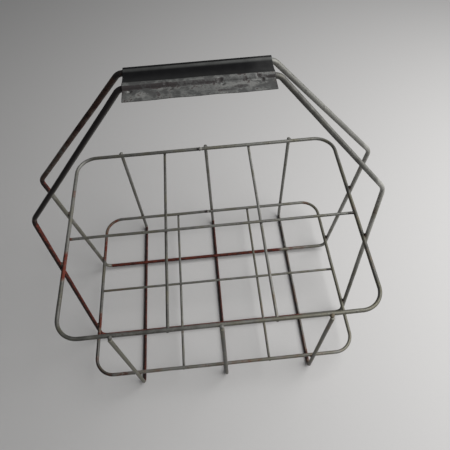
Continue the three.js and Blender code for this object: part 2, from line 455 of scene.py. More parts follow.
class Finish:
    """A procedural material, read in Object coordinates."""

    def __init__(self, name):
        self.material = bpy.data.materials.new(name)
        self.material.use_nodes = True
        self.tree = self.material.node_tree
        self.tree.nodes.clear()
        self.place = self.node("TexCoord", output="Object")

    def node(self, kind, settings=None, inputs=None, output=0):
        """Adds a node: its settings first, then the values or links of its sockets."""
        node = self.tree.nodes.new("ShaderNode" + kind)
        for key, value in (settings or {}).items():
            setattr(node, key, value)
        for key, value in (inputs or {}).items():
            socket = socket_named(node.inputs, key)
            if isinstance(value, Field):
                self.tree.links.new(value.socket, socket)
            else:
                socket.default_value = value
        return None if output is None else Field(self, socket_named(node.outputs, output))

    def millimetres(self):
        """The surface point's X, Y and Z in millimetres."""
        inputs = {0: self.place, "Scale": 1.0 / MILLIMETRE}
        scaled = self.node("VectorMath", {"operation": "SCALE"}, inputs, "Vector")
        return [self.node("SeparateXYZ", inputs={0: scaled}, output=axis) for axis in "XYZ"]

    def mark(self, name, output="Fac"):
        """A number or vector that the mesh keeps for every vertex."""
        return self.node("Attribute", {"attribute_name": name}, output=output)

    def noise(self, size, detail=3.0, stretch=(1.0, 1.0, 1.0), place=None):
        """Noise from 0 to 1 whose largest blots are about size millimetres across."""
        inputs = {"Vector": place or self.place, "Scale": stretch}
        vector = self.node("Mapping", inputs=inputs, output="Vector")
        inputs = {"Vector": vector, "Scale": 1.0 / (size * MILLIMETRE), "Detail": detail}
        return self.node("TexNoise", inputs=inputs, output="Fac")

    def mix(self, share, first, second):
        """The first colour where share is 0, the second where it is 1."""
        inputs = {"Factor_Float": share, "A_Color": paint(first), "B_Color": paint(second)}
        return self.node("Mix", {"data_type": "RGBA"}, inputs, "Result_Color")

    def surface(self, base, roughness, metallic, relief, depth, gloss=DULL_GLOSS):
        """Ends the material: a Principled surface, its relief raised by depth millimetres."""
        inputs = {"Height": relief, "Distance": depth * MILLIMETRE}
        bump = self.node("Bump", inputs=inputs, output="Normal")
        inputs = {
            "Base Color": base,
            "Roughness": roughness,
            "Metallic": metallic,
            "Specular IOR Level": gloss,
            "Normal": bump,
        }
        shader = self.node("BsdfPrincipled", inputs=inputs, output="BSDF")
        self.node("OutputMaterial", inputs={"Surface": shader}, output=None)
        return self.material


def paint(value):
    """A plain colour with its alpha, or a Field as it is."""
    return value if isinstance(value, Field) else (*value, 1.0)


def aged_wire(name, leans):
    """Weathered zinc wire: grey mottle, olive bloom, black patina, rust, and dark marks round the welds
    that are partly weld scale and partly painted shade in the crotches.

    leans gives, for a point's X, Y and Z in millimetres, how far a place leans to rust, to black patina and
    painted shade, to pale zinc and to olive, from about 0 for none to 1 for all. Noise breaks up their
    edges.
    Painted light makes the side of the wire turned to the light on the right paler and redder and thins its
    black to a painted sheen, and painted shade darkens the left side.
    """
    tones = bpy.context.scene.carrier_colours
    finish = Finish(name)
    rust_lean, dark_lean, pale_lean, olive_lean = leans(*finish.millimetres())
    heat = finish.mark("heat")
    bend = finish.mark("bend")
    facing = finish.mark("facing")
    patch = finish.noise(24.0, detail=2.0)
    mottle = finish.noise(5.0, detail=4.0)
    speck = finish.noise(1.2)
    streak = finish.noise(0.7, stretch=(0.03, 1.0, 1.0), place=finish.mark("drawn", "Vector"))
    ragged = 0.7 * (patch - 0.5) + 0.8 * (mottle - 0.5) + 0.4 * (speck - 0.5)
    tooth = 0.6 * speck + 0.4 * mottle
    rusting = rust_lean + 0.18 * heat + ragged
    rust = rusting.rise(0.36, 0.60)
    halo = rusting.rise(0.20, 0.44)
    # The black share: patina, weld scale and painted shade round the welds, and painted shade where the
    # leans put it; less on the lit side
    dark = (dark_lean + 0.45 * heat + 0.05 * bend - 0.06 * facing + ragged).rise(0.30, 0.70)
    # The side turned to the light gets more light zinc: painted light
    light = (0.45 * mottle + 0.25 * patch + 0.30 * streak + 0.07 * facing + pale_lean).rise(0.32, 0.68)
    zinc = finish.mix(light, tones.zinc_dark, tones.zinc_light)
    zinc = finish.mix((pale_lean + 0.3 * ragged).rise(0.14, 0.40), zinc, tones.chalk)
    olive = (finish.noise(11.0) + olive_lean).rise(0.46, 0.70)
    zinc = finish.mix(0.6 * olive, zinc, tones.olive)
    # Rust is redder on the lit side, which is painted light, and darker where the dark lean is strong
    reddening = tooth + 0.24 * facing - 0.30 * dark_lean
    oxide = finish.mix(reddening.rise(0.36, 0.64), tones.rust_dark, tones.rust_red)
    oxide = finish.mix(0.4 * (0.5 * speck + 0.5 * streak).rise(0.55, 0.70), oxide, tones.rust_orange)
    base = finish.mix(0.45 * tooth.rise(0.56, 0.64), zinc, tones.patina)
    # On the lit side the black thins to the zinc below: a painted sheen
    base = finish.mix(dark * (1.0 - 0.60 * facing.rise(0.12, 0.52)), base, tones.patina)
    base = finish.mix(0.28 * halo, base, tones.rust_orange)
    base = finish.mix(rust, base, oxide)
    relief = rust * tooth + (1.0 - rust) * (0.2 * speck + 0.12 * streak)
    rough = 0.44 + 0.14 * mottle + 0.26 * rust - 0.14 * dark * (1.0 - rust)
    metal = 0.5 * (1.0 - rust) * (1.0 - 0.5 * dark)
    return finish.surface(base, rough, metal, relief, 0.12)


def ring_finish(level):
    """Dull zinc, darker to the left, browner on the right and with red rust at the left end."""

    def joint(x, y):
        """Burnt scale at the left of the joint, and bright flash at its right, then a dark line that is a
        painted shadow of the middle runner's leg.
        """
        rear = y.rise(66.0, 72.0)
        # Weld scale left of the joint, and beside the middle leg its painted shadow
        scale_and_shadow = rear * (0.9 * x.band(-7.2, -5.0, 0.8) + 0.4 * x.band(-2.5, -1.4, 0.5))
        return scale_and_shadow, rear * x.band(-4.5, -3.2, 0.5)

    def upper(x, y, z):
        left = x.rise(-92.0, -102.0)
        right = x.rise(94.0, 102.0)
        scale_and_shadow, flash = joint(x, y)
        rust = 0.03 + left * (0.56 * y.band(-31.0, -16.0, 8.0) + 0.46 * y.band(37.0, 41.5, 2.5))
        rust = rust + 0.21 * right * y.band(-44.0, 4.0, 16.0) - 0.3 * flash
        dark = 0.03 + 0.05 * x.rise(0.0, -90.0) + 0.18 * left * y.rise(10.0, -40.0) + 0.12 * right
        pale = -0.06 + 0.11 * x.rise(-50.0, 10.0) - 0.14 * right + 0.13 * left * y.rise(-20.0, 20.0)
        olive = 0.08 * right + 0.14 * y.rise(-60.0, -72.0) * x.rise(-20.0, 30.0)
        return rust, dark + scale_and_shadow - 0.6 * flash, pale + 0.4 * flash, olive

    def lower(x, y, z):
        left = x.rise(-84.0, -99.0)
        right = x.rise(94.0, 102.0)
        front = y.rise(-44.0, -66.0)
        corner = front * x.rise(-52.0, -80.0)
        scale_and_shadow, flash = joint(x, y)
        rust = 0.04 + 0.36 * y.rise(62.0, 68.0) * x.band(93.0, 97.5, 2.0) - 0.3 * flash
        rust = rust + left * (0.46 * y.rise(20.0, 34.0) + 0.50 * y.band(-44.0, -24.0, 6.0)) + 0.10 * corner
        rust = rust + front * (0.20 + 0.10 * x.rise(-10.0, 10.0) - 0.12 * x.rise(40.0, 80.0))
        dark = 0.04 + 0.12 * left + 0.34 * left * y.rise(-14.0, -40.0) + 0.38 * corner + scale_and_shadow - 0.6 * flash
        pale = 0.05 + 0.15 * front - 0.12 * left - 0.04 * right + 0.3 * flash
        olive = 0.05 + 0.12 * front * x.rise(-10.0, 40.0) + 0.18 * right
        return rust, dark, pale, olive

    return aged_wire(level + "_ring_zinc", upper if level == "upper" else lower)


DIVIDER_PALE = {
    "upper": {"long": 0.04, "left": -0.11, "right": 0.17},
    "lower": {"long": 0.06, "left": -0.02, "right": 0.00},
}


def divider_finish(level, kind):
    """Dull zinc, tanned at a long divider's left end and dark at its right tip, where it runs under the
    ring.

    The lower one is tanned further in. The right short wires are rusty at the front and the lower left one
    at the rear, and the lower wires have an olive bloom on the right.
    """
    tan_reach = 4.0 if level == "upper" else 62.0
    rear_rust = 0.14 if (level, kind) == ("lower", "left") else 0.0
    right_olive = 0.16 if level == "lower" else 0.0

    def leans(x, y, z):
        tan = x.rise(tan_reach - 103.0, -103.0)
        rust = 0.04 + 0.31 * tan + 0.22 * y.rise(10.0, -50.0) * x.rise(20.0, 30.0)
        rust = rust + rear_rust * y.rise(0.0, 40.0)
        dark = 0.02 + 0.9 * x.rise(97.8, 100.5)
        pale = DIVIDER_PALE[level][kind] + 0.03 * y.rise(-40.0, 40.0)
        return rust, dark, pale, 0.3 * tan + right_olive * x.rise(10.0, 50.0)

    return aged_wire(f"{level}_{kind}_divider_zinc", leans)


def runner_finish(node):
    """Zinc legs above a base worn through to brown rust, least on the right runner, darkened by painted
    floor shade.
    """
    right = node == "right_runner"
    base_rust = 0.20 if right else 0.94
    tip_rust = 0.25 if right else 0.0
    # Painted shade: how much the base darkens and its rust dulls where it lies on the floor
    base_dark_and_shade = 0.64 if right else 0.70
    rear_pale = {"left_runner": 0.14, "middle_runner": 0.19, "right_runner": 0.20}[node]
    front_pale = {"left_runner": 0.19, "middle_runner": -0.05, "right_runner": 0.04}[node]
    front_olive = 0.24 if node == "left_runner" else 0.06
    front_rust = 0.14 if right else 0.0

    def leans(x, y, z):
        base = z.rise(5.2, 2.9)
        ahead = y.rise(20.0, -20.0)
        top = z.rise(112.0, 114.5) * (1.0 - 0.7 * ahead)
        pale = rear_pale + (front_pale - rear_pale) * ahead + 0.10 * top
        rust = 0.04 + (base_rust + tip_rust * y.rise(-40.0, -72.0)) * base - 0.3 * top
        rust = rust + front_rust * ahead * (1.0 - base)
        return rust, 0.03 + base_dark_and_shade * base - 0.5 * top, pale, front_olive * ahead

    return aged_wire(node + "_zinc", leans)


def bail_zones(x, z):
    """Shares of a bail's foot, its left and right legs and its left and right slopes."""
    upper = z.rise(156.0, 168.0)
    left_slope = upper * x.rise(-32.0, -36.0)
    right_slope = upper * x.rise(32.0, 36.0)
    return z.rise(14.0, 6.5), x.rise(-100.0, -105.0), x.rise(100.0, 105.0), left_slope, right_slope


def bail_finish(node):
    """Rusted foot and left leg, left slope black with oxide and painted shade, grey zinc on the right."""

    def front_leans(x, y, z):
        foot, left, right, left_slope, right_slope = bail_zones(x, z)
        rust = 0.04 + foot * (0.74 * x.rise(80.0, 56.0) + 0.20 * x.rise(100.0, 70.0))
        rust = rust + 0.78 * left * z.rise(166.0, 156.0) - 0.10 * right_slope
        # The left slope's black is partly oxide and partly painted shade, the dark reflection on the left
        # side
        dark = 0.03 + 0.58 * left + 1.1 * left_slope + 0.06 * right_slope
        pale = 0.04 + right * (0.02 + 0.42 * z.rise(40.0, 150.0))
        pale = pale + right_slope * (0.07 - 0.20 * z.rise(162.0, 202.0) - 0.10 * z.rise(222.0, 240.0))
        return rust, dark, pale, 0.04 - 0.16 * right_slope

    def rear_leans(x, y, z):
        foot, left, right, left_slope, right_slope = bail_zones(x, z)
        red = 0.74 * x.rise(-104.0, -102.0) * x.rise(66.0, 54.0)
        rust = 0.04 + foot * (red + 0.36 * x.band(58.0, 92.0, 14.0))
        rust = rust + 0.72 * left * z.band(150.0, 158.0, 6.0) + 0.30 * left_slope - 0.20 * right_slope
        rust = rust + 0.16 * right * z.band(136.0, 156.0, 8.0)
        # The black of the left slope and of the top run beside the grip is partly oxide and partly painted
        # shade
        dark = 0.03 + 0.54 * left_slope + 0.80 * left * z.band(150.0, 166.0, 6.0) + 0.06 * right_slope
        dark = dark + 0.10 * foot + 0.60 * z.rise(222.0, 236.0) * x.rise(-20.0, -30.0)
        pale = 0.12 + 0.12 * left + 0.16 * right + right_slope * (0.09 - 0.11 * z.rise(180.0, 235.0))
        return rust, dark, pale, 0.15 * left - 0.16 * right_slope

    return aged_wire(node + "_zinc", front_leans if node == "front_bail" else rear_leans)


# Operators

class CARRIER_OT_rings(bpy.types.Operator):
    """Bends both rings: a rounded rectangle of wire with its ends butted in the rear side"""

    bl_idname = "carrier.rings"
    bl_label = "Rings"

    def execute(self, context):
        sizes = context.scene.carrier_sizes
        for seed, level in enumerate(LEVELS, start=SEEDS["rings"]):
            x, y, z = ring_places(level)
            start = -sizes.ring_joint + sizes.joint_gap / 2.0
            stop = -sizes.ring_joint - sizes.joint_gap / 2.0
            corners = [(start, y, z), (x, y, z), (x, -y, z), (-x, -y, z), (-x, y, z), (stop, y, z)]
            node = level + "_ring"
            bends = [sizes.ring_corner] * 4
            piece = wire(node, corners, bends, sizes.frame_wire, (0, 0, 1), seed)
            dress(piece, ring_finish(level), "ring_wire", node)
        return {"FINISHED"}


class CARRIER_OT_dividers(bpy.types.Operator):
    """Lays the straight divider wires: short ones beneath each ring, a long one on top of those"""

    bl_idname = "carrier.dividers"
    bl_label = "Dividers"

    def execute(self, context):
        sizes = context.scene.carrier_sizes
        rows = itertools.product(LEVELS, (("long", 0), ("left", 1), ("right", 1)))
        for seed, (level, (kind, axis)) in enumerate(rows, start=SEEDS["dividers"]):
            node = f"{level}_{kind}_divider"
            reach = np.zeros(3)
            reach[axis] = span(node)[1][axis] - middle(node)[axis]
            ends = [middle(node) - reach, middle(node) + reach]
            piece = wire(node, ends, [], sizes.divider_wire, (0, 0, 1), seed)
            dress(piece, divider_finish(level, kind), "divider_wire", node)
        return {"FINISHED"}


class CARRIER_OT_runners(bpy.types.Operator):
    """Bends the three U-shaped runners that the carrier stands on"""

    bl_idname = "carrier.runners"
    bl_label = "Runners"

    def execute(self, context):
        sizes = context.scene.carrier_sizes
        radius = sizes.frame_wire / 2.0
        for seed, node in enumerate(RUNNERS, start=SEEDS["runners"]):
            low, high = span(node)
            x = middle(node)[0]
            y = high[1] - radius
            z = low[2] + radius
            corners = [(x, y, high[2]), (x, y, z), (x, -y, z), (x, -y, high[2])]
            bends = [sizes.runner_bend] * 2
            piece = wire(node, corners, bends, sizes.frame_wire, (1, 0, 0), seed)
            dress(piece, runner_finish(node), "runner_wire", node)
        return {"FINISHED"}


class CARRIER_OT_bails(bpy.types.Operator):
    """Bends the two leaning six-sided bails, their ends hidden in the grip"""

    bl_idname = "carrier.bails"
    bl_label = "Bails"

    def execute(self, context):
        sizes = context.scene.carrier_sizes
        gap = sizes.joint_gap / 2.0
        top_x = sizes.handle_spread / 2.0
        for seed, node in enumerate(BAILS, start=SEEDS["bails"]):
            shift = sizes.front_shift if node == "front_bail" else 0.0
            leg_x, foot_y, foot_z, handle_y, handle_z = bail_places(node)
            elbow_y = bail_y(node, sizes.elbow_height)
            corners = [
                (shift + gap, handle_y, handle_z),
                (shift + top_x, handle_y, handle_z),
                (leg_x, elbow_y, sizes.elbow_height),
                (leg_x, foot_y, foot_z),
                (-leg_x, foot_y, foot_z),
                (-leg_x, elbow_y, sizes.elbow_height),
                (shift - top_x, handle_y, handle_z),
                (shift - gap, handle_y, handle_z),
            ]
            half_loop = [sizes.handle_bend, sizes.elbow_bend, sizes.foot_bend]
            lean = (0.0, handle_z - foot_z, foot_y - handle_y)
            piece = wire(node, corners, half_loop + half_loop[::-1], sizes.bail_wire, lean, seed)
            dress(piece, bail_finish(node), "bail_wire", node)
        return {"FINISHED"}


NUGGET_ROWS = 7
NUGGET_COLUMNS = 14
NUGGET_TILT = 1.25
NUGGET_LUMPS = (0.09, 0.06)


def nugget_skin(places, halves):
    """Lumpy ellipsoids, middle + half size * (cos b cos a, cos b sin a, sin b), for all welds at once.

    a runs round and b from near one pole to near the other. Two sine waves in a, each turned by a
    random phase, swell the squeezed-out flash by about a seventh.
    """
    draw = np.random.default_rng(SEEDS["welds"])
    turn = np.linspace(0.0, 2.0 * math.pi, NUGGET_COLUMNS, endpoint=False)
    tilt = np.linspace(-NUGGET_TILT, NUGGET_TILT, NUGGET_ROWS)[:, None]
    phase = draw.uniform(0.0, 2.0 * math.pi, (2, len(places), 1, 1))
    broad, narrow = NUGGET_LUMPS
    lump = broad * np.sin(2.0 * turn + phase[0]) + narrow * np.sin(3.0 * turn + 2.0 * tilt + phase[1])
    swell = 1.0 + lump * np.cos(tilt)
    across = (np.cos(tilt) * np.cos(turn), np.cos(tilt) * np.sin(turn), np.sin(tilt))
    ball = np.stack(np.broadcast_arrays(*across), axis=-1)
    return places[:, None, None] + halves[:, None, None] * ball * swell[..., None]


def weld_finish():
    """Burnt scale with rust in it and specks of bright flash.

    The runners' leg ends stay zinc, dark at the front left and tan at the front right.
    """
    tones = bpy.context.scene.carrier_colours
    finish = Finish("weld_scale")
    spot = finish.noise(4.0)
    grit = finish.noise(0.8)
    base = finish.mix(spot.rise(0.45, 0.62), tones.weld_scale, tones.rust_dark)
    base = finish.mix(0.7 * grit.rise(0.52, 0.66), base, tones.rust_red)
    base = finish.mix(0.8 * finish.noise(9.0, detail=2.0).rise(0.58, 0.66), base, tones.zinc_light)
    x, y, z = finish.millimetres()
    outside = y.rise(-74.0, -76.0) + y.rise(74.0, 76.0)
    leg_end = z.rise(111.0, 112.0) * outside * x.band(-73.0, 73.0, 2.0)
    front = y.rise(0.0, -50.0)
    rubbed = spot.rise(0.40, 0.60) * (1.0 - 0.7 * front * x.rise(-20.0, -60.0))
    zinc = finish.mix(rubbed, tones.zinc_dark, tones.zinc_light)
    tan = finish.mix(0.3 * grit, tones.olive, tones.rust_orange)
    zinc = finish.mix(0.8 * front * x.rise(20.0, 60.0), zinc, tan)
    base = finish.mix(0.9 * leg_end, base, zinc)
    return finish.surface(base, 0.5 + 0.3 * grit, 0.3 * (1.0 - spot), grit, 0.15)


class CARRIER_OT_welds(bpy.types.Operator):
    """Sets a weld nugget in the seat of every two wires that meet, and a collar on each ring's joint"""

    bl_idname = "carrier.welds"
    bl_label = "Welds"

    def execute(self, context):
        places, halves = weld_places()
        skin = nugget_skin(places, halves)
        poles = places[:, None] + halves[:, None] * np.array([(0.0, 0.0, way) for way in BOTH])
        points = np.concatenate([skin.reshape(len(places), -1, 3), poles], axis=1)
        shift = np.arange(len(places))[:, None, None] * points.shape[1]
        quads, fans = tube_faces(NUGGET_ROWS, NUGGET_COLUMNS)
        faces = (quads + shift).reshape(-1, 4).tolist() + (fans + shift).reshape(-1, 3).tolist()
        piece = build_mesh("weld_nuggets", points.reshape(-1, 3), faces)
        dress(piece, weld_finish(), "ring_wire")
        return {"FINISHED"}


# Grip

def arc(centre, radius, start, stop, count):
    """Points of an arc and its outward unit normals, in the plane across the handle."""
    angle = np.linspace(start, stop, count)
    normal = np.stack([np.cos(angle), np.sin(angle)], axis=-1)
    return np.asarray(centre) + radius * normal, normal


# Where the rolled rear edge stops, and the points along each stretch of the section
ROLL_END = math.radians(-120.0)
ROLL_COUNT = 56
TROUGH_COUNT = 36
FRONT_COUNT = 34
FILLET_COUNT = 10
LIP_COUNT = 26


def grip_line(sizes, wire_y, lip_edge):
    """Middle line of the grip's sheet with its upward normals, from the rolled rear edge to the lip.

    Around each wire it is an arc, between the wires a hollow arc that touches both, and a small fillet
    leads from the front wire to the straight lip. Y is to the right and the wires' centres are at 0.
    """
    ridge = sizes.bail_wire / 2.0 + sizes.sheet_clearance + sizes.sheet / 2.0
    level = sizes.trough_level
    trough = (wire_y ** 2 + level ** 2 - ridge ** 2) / (2.0 * (ridge - level))
    trough_z = trough + level
    turn = math.atan2(trough_z, wire_y)
    lip_z = sizes.lip_level + sizes.lip_fillet
    reach = math.sqrt((ridge + sizes.lip_fillet) ** 2 - lip_z ** 2)
    lip_turn = math.atan2(lip_z, reach)
    lip_y = -wire_y - reach
    rear, rear_up = arc((wire_y, 0.0), ridge, ROLL_END, math.pi - turn, ROLL_COUNT)
    hollow, hollow_out = arc((0.0, trough_z), trough, -turn, turn - math.pi, TROUGH_COUNT)
    front, front_up = arc((-wire_y, 0.0), ridge, turn, math.pi - lip_turn, FRONT_COUNT)
    lip_middle = (lip_y, lip_z)
    fillet, fillet_out = arc(lip_middle, sizes.lip_fillet, -lip_turn, -math.pi / 2.0, FILLET_COUNT)
    lip_run = np.linspace(lip_y, lip_edge + sizes.sheet / 2.0, LIP_COUNT)
    lip = np.stack([lip_run, np.full(LIP_COUNT, sizes.lip_level)], axis=-1)
    lip_up = np.tile([0.0, 1.0], (LIP_COUNT, 1))
    line = np.concatenate([rear, hollow[1:], front[1:], fillet[1:], lip[1:]])
    normal = np.concatenate([rear_up, -hollow_out[1:], front_up[1:], -fillet_out[1:], lip_up[1:]])
    return line, normal, lip_y


# Stake dents: X, Y and spread in millimetres, and share of the full depth
DENTS = np.array([
    (-31.4, -9.1, 0.70, 1.0),
    (-12.2, -9.3, 0.60, 0.8),
    (11.6, -9.3, 0.60, 0.7),
    (30.0, -8.6, 0.65, 0.9),
    (-14.6, -6.8, 0.60, 0.5),
    (10.4, -7.2, 0.65, 0.7),
    (28.1, -6.8, 0.55, 0.5),
])
# The burr round a dent: its share of the depth, its distance and its width, in spreads
BURR_SHARE = 0.16
BURR_PLACE = 2.2
BURR_WIDTH = 0.5

# Length of the lip's longest wave, and the number of waves
LIP_WAVE = 45.0 * MILLIMETRE
LIP_WAVE_COUNT = 3

# Broken edges at the grip's ends, its rows along X and the round edges of its sheet
END_INSET = np.array([0.0, 0.05, 0.14, 0.32]) * MILLIMETRE
END_THICK = np.array([0.35, 0.75, 0.94, 1.0])
GRIP_ROWS = 172
EDGE_ANGLES = np.radians([30.0, 60.0, 90.0, 120.0, 150.0])


def stake_dents(sizes, x, line):
    """Height of the stake dents over X and the section's length, as a sum of round pits.

    A pit is -depth * exp(-d^2 / 2s^2), with a burr of a sixth of its depth round it at 2.2 s.
    """
    along = run_lengths(line)
    crest = np.argmax(line[:len(line) // 2, 1])
    height = np.zeros((len(x), len(line)))
    for dent_x, dent_y, spread, share in DENTS * [MILLIMETRE, MILLIMETRE, MILLIMETRE, 1.0]:
        at = np.interp(-dent_y, -line[crest:, 0], along[crest:])
        distance = np.hypot(x[:, None] - dent_x, along[None] - at) / spread
        burr = np.exp(-(distance - BURR_PLACE) ** 2 / (2.0 * BURR_WIDTH ** 2))
        pit = np.exp(-distance ** 2 / 2.0) - BURR_SHARE * burr
        height -= share * sizes.dent_depth * pit
    return height


def lip_warp(sizes, x, line, lip_y):
    """Slow bends of the lip, which grow as the square of the way out to its edge."""
    out = np.clip((lip_y - line[:, 0]) / (lip_y - line[-1, 0]), 0.0, 1.0) ** 2
    return sizes.lip_warp * wave(x, SEEDS["lip"], LIP_WAVE, LIP_WAVE_COUNT)[:, None] * out


def sheet_loop(line, normal, lift, thick):
    """The closed section at every X: the sheet's upper side, round lip, underside and round roll end.

    A side is line + (lift +- thick) * normal, and a round edge is line + lift * normal +
    thick * (cos a * normal + sin a * outward).
    """
    count = len(line)
    cosine, sine = np.cos(EDGE_ANGLES), np.sin(EDGE_ANGLES)
    flat = np.zeros(count)
    index = np.concatenate([
        np.arange(count),
        np.full(len(sine), count - 1),
        np.arange(count)[::-1],
        np.zeros(len(sine), int),
    ])
    rise = np.concatenate([flat + 1.0, cosine, flat - 1.0, -cosine])
    out = np.concatenate([flat, sine, flat, sine])[:, None]
    lip_way = unit(line[-1] - line[-2])
    roll_way = unit(line[0] - line[1])
    edge = np.where((index > count // 2)[:, None], lip_way, roll_way) * out
    along_normal = lift[:, index] + thick[:, None] * rise
    return line[index] + along_normal[..., None] * normal[index] + thick[:, None, None] * edge


def sheet_faces(rows, count):
    """Quads round the closed section from end to end, and a strip of faces over each end."""
    edge = len(EDGE_ANGLES)
    columns = 2 * (count + edge)
    sides = np.roll(tube_quads(rows, columns)[:, ::-1], 1, axis=1)
    step = np.arange(count - 1)
    under = 2 * count + edge - 1 - step
    strip = np.stack([step, step + 1, under - 1, under], axis=-1)
    lip = np.arange(count - 1, count + edge + 1)
    roll = np.append(np.arange(2 * count + edge - 1, columns), 0)
    last = (rows - 1) * columns
    caps = [*strip.tolist(), lip.tolist(), roll.tolist()]
    far = [*(last + strip[:, ::-1]).tolist(), (last + lip[::-1]).tolist(), (last + roll[::-1]).tolist()]
    return sides.tolist() + caps + far


class CARRIER_OT_grip(bpy.types.Operator):
    """Presses the grip: one sheet rolled round the rear wire, dipped, ridged and drawn out to a lip"""

    bl_idname = "carrier.grip"
    bl_label = "Grip"

    def execute(self, context):
        sizes = context.scene.carrier_sizes
        low, high = span("grip")
        _, _, _, wire_y, wire_z = bail_places("rear_bail")
        line, normal, lip_y = grip_line(sizes, wire_y, low[1])
        inner = np.linspace(low[0] + END_INSET[-1], high[0] - END_INSET[-1], GRIP_ROWS)
        x = np.concatenate([low[0] + END_INSET[:-1], inner, high[0] - END_INSET[-2::-1]])
        thick = np.concatenate([END_THICK[:-1], np.ones(GRIP_ROWS), END_THICK[-2::-1]]) * sizes.sheet / 2.0
        lift = stake_dents(sizes, x, line) + lip_warp(sizes, x, line, lip_y)
        loop = sheet_loop(line, normal, lift, thick)
        points = np.concatenate([np.broadcast_to(x[:, None, None], (*loop.shape[:2], 1)), loop], axis=-1)
        points[..., 2] += wire_z
        piece = build_mesh("grip_sheet_steel", points.reshape(-1, 3), sheet_faces(len(x), len(line)))
        dress(piece, sheet_finish(), "grip_sheet", "grip")
        return {"FINISHED"}


# Marks on the grip: X, Y, half length and half width in millimetres, and strength
DARK_MARKS = (
    (-30.5, -9.2, 1.0, 0.9, 0.80),
    (-12.0, -9.6, 1.1, 0.7, 0.60),
    (11.8, -9.5, 1.1, 0.8, 0.55),
    (30.3, -8.7, 1.0, 0.8, 0.60),
    (-15.0, -6.9, 2.4, 0.6, 0.40),
    (10.8, -7.2, 1.7, 0.8, 0.55),
    (28.4, -6.8, 1.4, 0.6, 0.45),
    (-20.0, -11.8, 4.0, 1.8, 0.32),
    (12.6, -13.6, 5.0, 0.9, 0.40),
    (-33.8, -11.0, 1.8, 4.0, 0.22),
    (19.8, -11.8, 4.5, 1.6, 0.40),
    (35.4, -12.6, 3.2, 3.2, 0.40),
    (34.5, -7.7, 3.0, 0.7, 0.50),
    (-33.0, -7.6, 2.0, 0.8, 0.40),
)
PALE_MARKS = (
    (-31.8, -9.0, 0.8, 0.8, 0.80),
    (-24.5, -11.2, 2.2, 0.8, 0.35),
    (-15.8, -8.9, 3.4, 1.2, 0.40),
    (8.4, -7.8, 2.0, 1.1, 0.50),
    (26.8, -8.2, 2.4, 1.0, 0.45),
    (-26.4, -12.2, 3.2, 2.6, 0.42),
    (11.0, -10.4, 4.0, 1.6, 0.42),
    (15.6, -9.9, 4.0, 1.8, 0.40),
    (21.5, -9.8, 4.0, 1.4, 0.40),
    (25.6, -10.6, 3.4, 2.4, 0.42),
    (31.6, -11.0, 2.4, 2.0, 0.25),
)


def sheet_finish():
    """Sheet steel: black paint in the trough, worn thin on both ridges with painted highlights along them,
    painted shade on the front ridge's slope, and a bare grey lip.

    The zones follow Y across the handle and their edges are frayed by noise. Marks are ovals whose squared
    distance (x / half length)^2 + (y / half width)^2 falls from the middle to the rim.
    """
    tones = bpy.context.scene.carrier_colours
    finish = Finish("grip_steel")
    x, y, _ = finish.millimetres()
    blot = finish.noise(8.5)
    mottle = finish.noise(3.4)
    grit = finish.noise(1.0)
    rubbed = finish.noise(2.2, stretch=(0.16, 1.0, 1.0))
    ragged = (blot - 0.5) + 1.6 * (mottle - 0.5) + 1.2 * (grit - 0.5)
    patchy = 0.6 + 0.8 * mottle

    def marks(rows):
        """Sum of the ovals in the rows, each as strong as its row says."""
        total = 0.0
        for at_x, at_y, half_x, half_y, strength in rows:
            across = (x - at_x) * (1.0 / half_x)
            along = (y - at_y) * (1.0 / half_y)
            total = total + strength * (across * across + along * along).rise(1.0, 0.1)
        return total

    slope = (y + 0.5 * ragged).band(-8.2, -7.0, 0.5)
    crest = y.band(-6.1, -5.4, 0.5)
    ends = x.rise(-34.3, -34.7) + x.rise(35.7, 36.1)
    # Darker band on the ridge's front slope, more to the left: partly dirt and partly painted shade where
    # the slope turns from the light
    slope_dirt_and_shade = slope * (0.70 - 0.30 * x.rise(-18.0, -8.0) - 0.22 * x.rise(8.0, 14.0))
    stain_and_shade = (0.12 + marks(DARK_MARKS) + slope_dirt_and_shade + 0.6 * ends + ragged).rise(0.20, 0.66)
    # Scuffs, and along the front crest a painted highlight that grows to the right
    scuffs_and_sheen = 0.30 + marks(PALE_MARKS) + crest * (0.10 + 0.14 * x.rise(-5.0, 25.0))
    scuffs_and_sheen = scuffs_and_sheen - 0.12 * y.rise(-8.6, -7.8)
    scuff = (scuffs_and_sheen + 0.8 * ragged + 0.3 * (rubbed - 0.5)).rise(0.30, 0.72)
    browning = 0.12 + 0.34 * slope * x.rise(-6.0, -16.0) + 0.20 * x.rise(31.0, 36.0)
    brown = (browning + ragged).rise(0.24, 0.56)
    bare = (0.5 * mottle + 0.3 * blot + 0.2 * grit).rise(0.42, 0.60)
    base = finish.mix(bare, tones.sheet_dull, tones.sheet_worn)
    base = finish.mix(0.6 * scuff, base, tones.sheet_scuff)
    base = finish.mix(0.6 * brown, base, tones.sheet_brown)
    base = finish.mix(0.85 * stain_and_shade, base, tones.sheet_stain)
    thin = 0.02 + 0.10 * y.rise(2.0, -4.0) + 0.16 * x.rise(22.0, 33.0)
    black = finish.mix(thin * patchy, tones.sheet_black, tones.sheet_dull)
    # Grey along the rear ridge: partly paint worn through and partly a painted reflection, brighter to the
    # right
    rear_ridge = y.rise(2.9, 4.5) * y.rise(5.4, 5.0)
    wear_and_sheen = rear_ridge * (0.20 + 0.15 * x.rise(-25.0, 30.0)) * patchy
    black = finish.mix(wear_and_sheen, black, tones.sheet_worn)
    painted = (y + 0.031 * x + 0.6 * x.rise(4.0, -10.0) + 0.25 * ragged).rise(-4.95, -4.55)
    base = finish.mix(painted, base, black)
    rough = 0.42 + 0.16 * mottle + 0.12 * stain_and_shade
    metal = 0.45 * (1.0 - 0.6 * stain_and_shade) * (1.0 - painted)
    relief = 0.5 * mottle + 0.2 * rubbed + 0.3 * grit
    return finish.surface(base, rough, metal, relief, 0.07, SHEET_GLOSS)


# Stage

